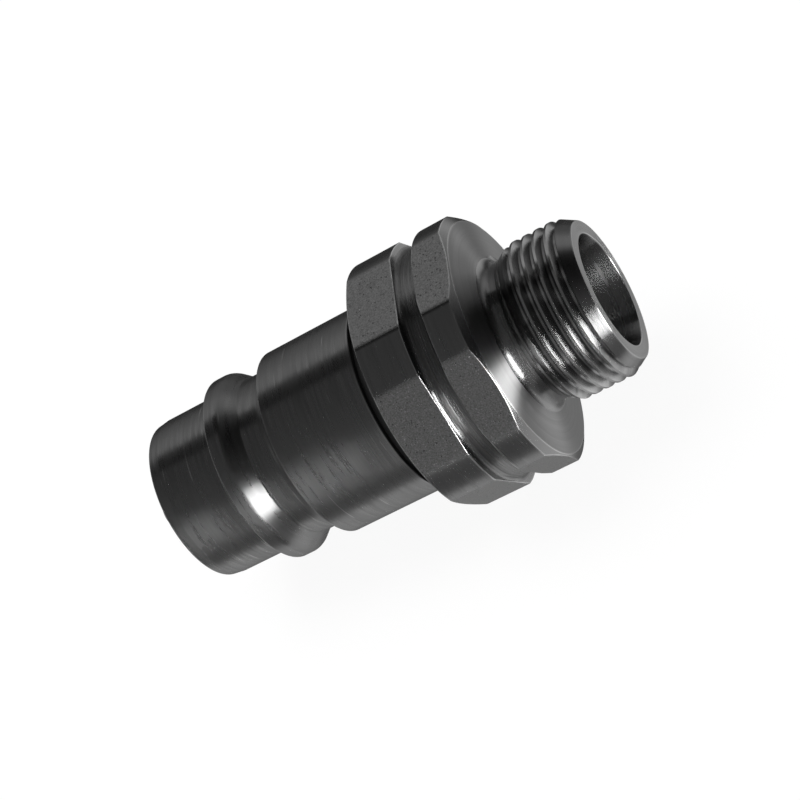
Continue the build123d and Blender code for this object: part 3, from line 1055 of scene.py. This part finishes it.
FRONT_PANELS = ((0.0, 0.5), (0.2, 0.85), (0.4, 0.25), (0.6, 0.5), (0.8, 0.3))
PANEL_BANDS = (
    (-0.86, -0.76, (
        (0.0, 0.4), (0.14, 0.3), (0.25, 0.15), (0.3, 0.35), (0.39, 0.4), (0.41, 0.02),
        (0.7, 0.03), (0.78, 0.3), (0.95, 0.6),
    )),
    (-0.68, -0.55, (
        (0.0, 0.56), (0.035, 0.47), (0.06, 0.22), (0.1, 0.12), (0.14, 0.25), (0.155, 0.04),
        (0.228, 0.06), (0.262, 0.22), (0.314, 0.36), (0.345, 0.5), (0.393, 0.6), (0.402, 0.04),
        (0.458, 0.05), (0.468, 0.15), (0.585, 0.16), (0.63, 0.17), (0.669, 0.22), (0.7, 0.38),
        (0.81, 0.46), (0.845, 0.2), (0.908, 0.19), (0.916, 0.85), (0.94, 0.9), (0.982, 0.68),
    )),
    (0.1, 0.4, (
        (0.0, 1.15), (0.06, 1.1), (0.12, 0.9), (0.215, 0.85), (0.245, 0.12), (0.275, 0.28),
        (0.307, 0.58), (0.35, 0.52), (0.372, 0.12), (0.385, 0.01), (0.45, 0.01), (0.52, 0.04),
        (0.575, 0.1), (0.63, 0.17), (0.7, 0.3), (0.83, 0.4), (0.872, 0.28), (0.915, 0.24),
        (0.945, 0.75), (0.975, 1.1),
    )),
    (0.82, 0.92, ((0.0, 0.03), (0.6, 0.03), (0.66, 0.35), (0.88, 0.35), (0.94, 0.03))),
)


def lay_floor(s):
    """A pale floor under the coupling's lowest flats, which keeps its shadow."""
    half, height = s.floor_size / 2, CAD_BOX[0].z
    mesh = bpy.data.meshes.new("floor")
    corners = [(-half, -half, height), (half, -half, height), (half, half, height), (-half, half, height)]
    mesh.from_pydata(corners, [], [(0, 1, 2, 3)])
    material, tree, shader = new_material("Pale floor")
    grain = use_group(tree, satin_grain, Grain=600.0, Clouds=3.0)
    shade = mix_colour(tree, grain["Cloud"], (0.9, 0.9, 0.9, 1.0), (0.84, 0.84, 0.84, 1.0))
    feed(tree, shader, {"Base Color": shade, "Roughness": 0.8})
    rays = add_node(tree, "ShaderNodeLightPath").outputs
    seen = times(tree, rays["Is Camera Ray"], s.floor_white)
    reflected = math_node(tree, "MAXIMUM", rays["Is Glossy Ray"], rays["Is Transmission Ray"])
    glow = add_node(tree, "ShaderNodeEmission").outputs[0]
    values = {
        0: math_node(tree, "MAXIMUM", seen, reflected),
        1: tree.nodes["Principled BSDF"].outputs[0],
        2: glow,
    }
    blend = add_node(tree, "ShaderNodeMixShader", values).outputs[0]
    feed(tree, tree.nodes["Material Output"].inputs, {"Surface": blend})
    mesh.materials.append(material)
    floor = show("floor", mesh)
    floor.visible_glossy = False


def hang_dome(s):
    """A dome of grey panels and a bright softbox, which only the coupling's reflections see."""
    mesh = bpy.data.meshes.new("studio_dome")
    ball = bmesh.new()
    bmesh.ops.create_icosphere(ball, subdivisions=4, radius=s.dome_radius)
    ball.to_mesh(mesh)
    ball.free()
    material, tree, _ = new_material("Studio panels")
    tree.nodes.remove(tree.nodes["Principled BSDF"])
    x, y, z = axis_places(tree)
    turn = math_node(tree, "ARCTAN2", times(tree, y, -1.0), z)
    turn = plus(tree, math_node(tree, "DIVIDE", turn, 2 * pi), 0.5)
    along = math_node(tree, "DIVIDE", x, s.dome_radius)
    panels = ramp(tree, turn, FRONT_PANELS)
    for low, high, stops in PANEL_BANDS:
        panels = mix_colour(tree, soft_step(tree, along, low, high), panels, ramp(tree, turn, stops))
    outward = vector_node(tree, "NORMALIZE", object_place(tree))[0]
    direction = Vector(s.softbox_direction).normalized()
    toward = vector_node(tree, "DOT_PRODUCT", outward, direction)["Value"]
    inner = cos(s.softbox_size * (1 - s.softbox_blur))
    outer = cos(s.softbox_size * (1 + s.softbox_blur))
    softbox = soft_step(tree, toward, outer, inner, s.softbox_level)
    level = vector_node(tree, "ADD", panels, softbox)[0]
    glow = add_node(tree, "ShaderNodeEmission", {"Color": level}).outputs[0]
    feed(tree, tree.nodes["Material Output"].inputs, {"Surface": glow})
    material.cycles.emission_sampling = "NONE"
    mesh.materials.append(material)
    dome = show("studio_dome", mesh)
    dome.visible_camera = False
    dome.visible_diffuse = False
    dome.visible_shadow = False


def light_room(scene, s):
    """A white background, even light from all round, and one soft lamp overhead."""
    world = bpy.data.worlds.new("Studio light")
    scene.world = world
    world.use_nodes = True
    tree = world.node_tree
    rays = add_node(tree, "ShaderNodeLightPath").outputs
    seen = math_node(tree, "MAXIMUM", rays["Is Camera Ray"], rays["Is Glossy Ray"])
    seen = math_node(tree, "MAXIMUM", seen, rays["Is Transmission Ray"])
    strength = plus(tree, s.even_light, times(tree, seen, 1 - s.even_light))
    feed(tree, tree.nodes["Background"].inputs, {"Strength": strength, "Color": (1.0, 1.0, 1.0, 1.0)})
    lamp_data = bpy.data.lights.new("overhead_lamp", "AREA")
    lamp_data.energy = s.lamp_power
    lamp_data.size = s.lamp_size
    lamp = show("overhead_lamp", lamp_data)
    lamp.location = s.lamp_place
    lamp.rotation_mode = "QUATERNION"
    lamp.rotation_quaternion = Vector(s.lamp_place).to_track_quat("Z", "Y")
    lamp.visible_glossy = False


def place_camera(scene, s):
    """The camera at the photograph's angle."""
    data = bpy.data.cameras.new("camera")
    data.lens = s.camera_lens
    data.sensor_width = 36.0
    data.clip_start, data.clip_end = 0.01, 20.0
    camera = show("camera", data)
    camera.location = s.camera_place
    camera.rotation_mode = "QUATERNION"
    back = Vector(s.camera_place) - Vector(s.camera_target)
    level = back.to_track_quat("Z", "Y")
    camera.rotation_quaternion = level @ Quaternion((0.0, 0.0, 1.0), s.camera_roll)
    scene.camera = camera


class COUPLING_OT_studio(PieceOperator, bpy.types.Operator):
    """Set up the pale floor, the camera, the soft lamps and the dome that the metal reflects"""

    bl_idname = "coupling.studio"
    bl_label = "Studio"

    def execute(self, context):
        s = context.scene.coupling_studio
        lay_floor(s)
        hang_dome(s)
        light_room(context.scene, s)
        place_camera(context.scene, s)
        context.scene.view_settings.view_transform = "Standard"
        return {"FINISHED"}

class COUPLING_PT_panel(bpy.types.Panel):
    """Lists the coupling's pieces in the sidebar"""

    bl_idname = "COUPLING_PT_panel"
    bl_label = "Quick Coupling Plug"
    bl_space_type = "VIEW_3D"
    bl_region_type = "UI"
    bl_category = "Coupling"

    def draw(self, context):
        for operator in OPERATORS:
            self.layout.operator(operator.bl_idname)


SETTINGS = {
    "coupling_nose": NoseShape,
    "coupling_adapter": AdapterShape,
    "coupling_valve": ValveShape,
    "coupling_finish": Finish,
    "coupling_studio": Studio,
}
OPERATORS = (
    COUPLING_OT_nose_body,
    COUPLING_OT_hexagon_adapter,
    COUPLING_OT_valve,
    COUPLING_OT_hidden_pieces,
    COUPLING_OT_studio,
)


def register():
    """Adds the add-on's classes and its settings to the scene."""
    for kind in (*SETTINGS.values(), *OPERATORS, COUPLING_PT_panel):
        bpy.utils.register_class(kind)
    for name, kind in SETTINGS.items():
        setattr(bpy.types.Scene, name, bpy.props.PointerProperty(type=kind))


def unregister():
    """Takes them away again."""
    for name in SETTINGS:
        delattr(bpy.types.Scene, name)
    for kind in (COUPLING_PT_panel, *reversed(OPERATORS), *reversed(SETTINGS.values())):
        bpy.utils.unregister_class(kind)


def main():
    """Registers the add-on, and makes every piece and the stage."""
    register()
    bpy.ops.coupling.nose_body()
    bpy.ops.coupling.hexagon_adapter()
    bpy.ops.coupling.valve()
    bpy.ops.coupling.hidden_pieces()
    bpy.ops.coupling.studio()


if __name__ == "__main__":
    main()
